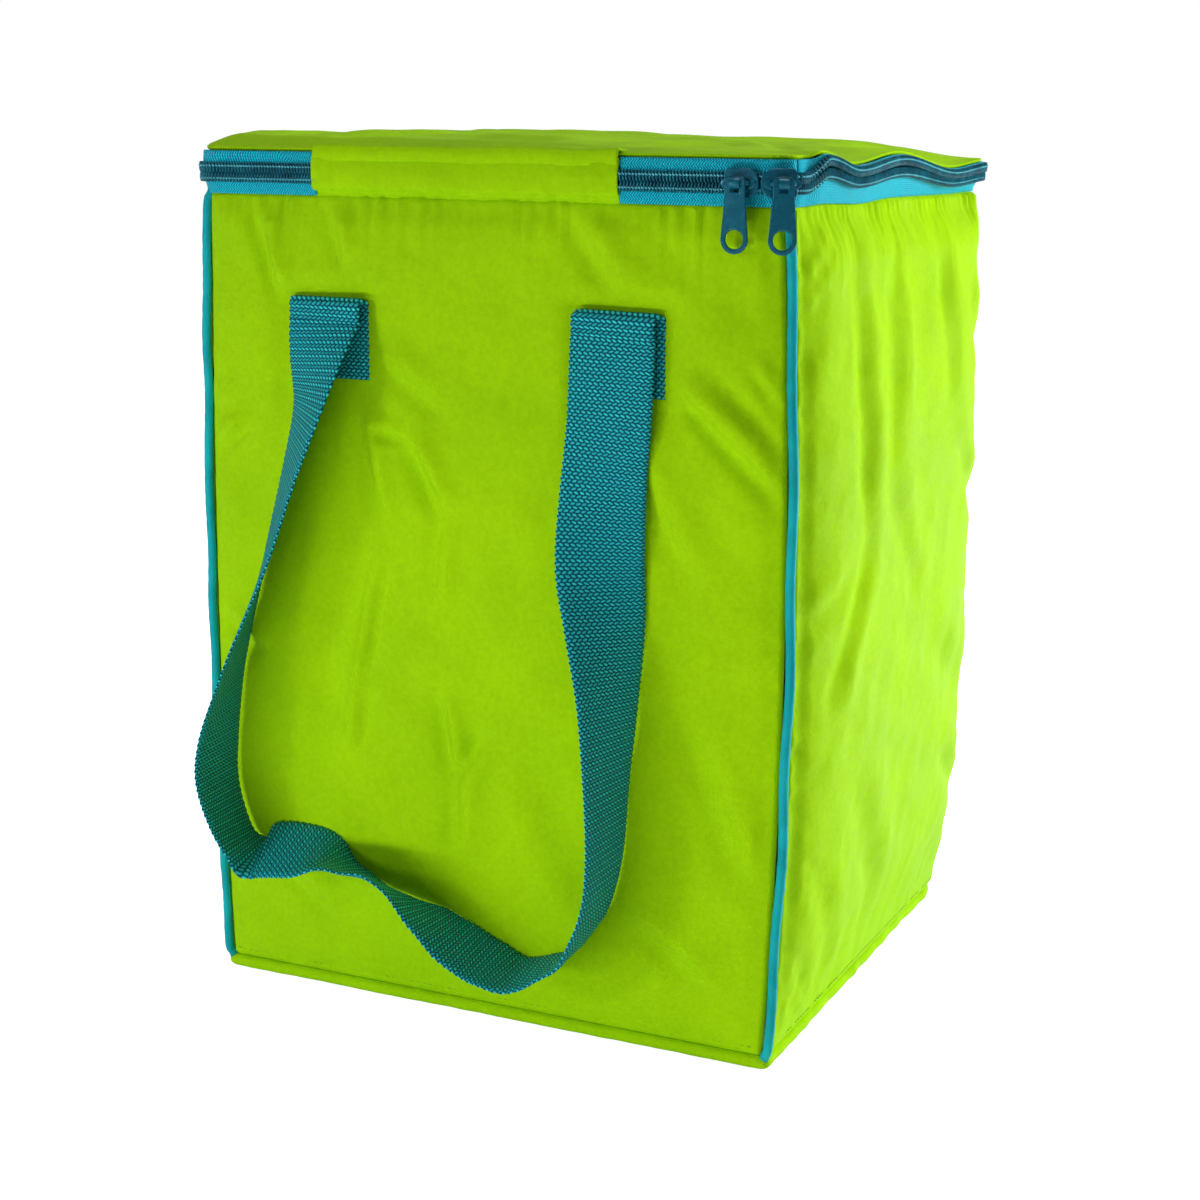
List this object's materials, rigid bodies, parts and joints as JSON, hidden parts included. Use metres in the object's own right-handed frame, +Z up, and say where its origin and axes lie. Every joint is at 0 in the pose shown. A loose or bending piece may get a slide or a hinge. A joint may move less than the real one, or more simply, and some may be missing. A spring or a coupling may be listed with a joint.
{
  "type": "insulated cooler bag",
  "caption": "Upright soft insulated bag with padded walls, a zipped lid hinged on a fabric strip, piped front edges and webbing carry handles.",
  "frame": {"origin": "centre of the flat underside", "axes": "+Z up, +X to the right, -Y towards the front, which carries the hinge strip and both sliders"},
  "size_m": [0.2877, 0.3452, 0.396],
  "materials": {
    "lime_fabric": "lime green coated polyester with a fine plain weave and a soft sheen",
    "webbing": "teal woven polypropylene webbing",
    "zip_tape": "turquoise woven zip tape",
    "zip_coil": "dark teal nylon coil with pale stitching",
    "piping": "bright turquoise fabric piping",
    "binding_tape": "turquoise woven binding",
    "enamel": "glossy dark teal enamel on die-cast metal",
    "foam_board": "white closed-cell foam",
    "silver_lining": "silver heat-sealed film lining"
  },
  "bodies": {
    "body": {"front_panel": "lime_fabric", "back_panel": "lime_fabric", "left_panel": "lime_fabric", "right_panel": "lime_fabric", "left_piping": "piping", "right_piping": "piping", "base_panel": "lime_fabric", "base_foam": "foam_board", "front_foam": "foam_board", "back_foam": "foam_board", "left_foam": "foam_board", "right_foam": "foam_board", "body_lining": "silver_lining", "rim_binding": "binding_tape", "lower_zip_tape": "zip_tape", "lower_zip_coil": "zip_coil", "closed_zip_tape": "zip_tape", "closed_zip_coil": "zip_coil", "hinge_strip": "lime_fabric", "front_handle_left_end": "webbing", "front_handle_right_end": "webbing", "back_handle_left_end": "webbing", "back_handle_right_end": "webbing"},
    "lid": {"lid_panel": "lime_fabric", "lid_foam": "foam_board", "lid_lining": "silver_lining", "lid_binding": "binding_tape", "lid_zip_tape": "zip_tape", "lid_zip_coil": "zip_coil"},
    "slider_1": {"slider_1": "enamel"},
    "slider_1_pull": {"slider_1_pull": "enamel"},
    "slider_2": {"slider_2": "enamel"},
    "slider_2_pull": {"slider_2_pull": "enamel"},
    "front_handle": {"front_handle_loop": "webbing"},
    "back_handle": {"back_handle_loop": "webbing"}
  },
  "joints": [
    {"name": "lid_hinge", "type": "hinge", "parent": "body", "child": "lid", "pos_m": [0, -0.131, 0.391], "axis": [1, 0, 0], "range_deg": [0, 180]},
    {"name": "slider_1_run", "type": "slide", "parent": "body", "child": "slider_1", "axis": [1, 0, 0], "range_m": [-0.045, 0]},
    {"name": "slider_1_pull_swing", "type": "hinge", "parent": "slider_1", "child": "slider_1_pull", "pos_m": [0.1194, -0.138, 0.3802], "axis": [1, 0, 0], "range_deg": [-170, 0]},
    {"name": "slider_2_corner", "type": "hinge", "parent": "body", "child": "slider_2", "pos_m": [0.13, -0.12, 0.3802], "axis": [0, 0, -1], "range_deg": [-40, 0]},
    {"name": "slider_2_pull_swing", "type": "hinge", "parent": "slider_2", "child": "slider_2_pull", "pos_m": [0.139, -0.13559, 0.3802], "axis": [0.866, 0.5, 0], "range_deg": [-170, 0]},
    {"name": "front_handle_swing", "type": "hinge", "parent": "body", "child": "front_handle", "pos_m": [-0.003, -0.1331, 0.3244], "axis": [1, 0, 0], "range_deg": [-140, 0]},
    {"name": "back_handle_swing", "type": "hinge", "parent": "body", "child": "back_handle", "pos_m": [0.003, 0.1331, 0.3244], "axis": [-1, 0, 0], "range_deg": [-140, 0]}
  ]
}
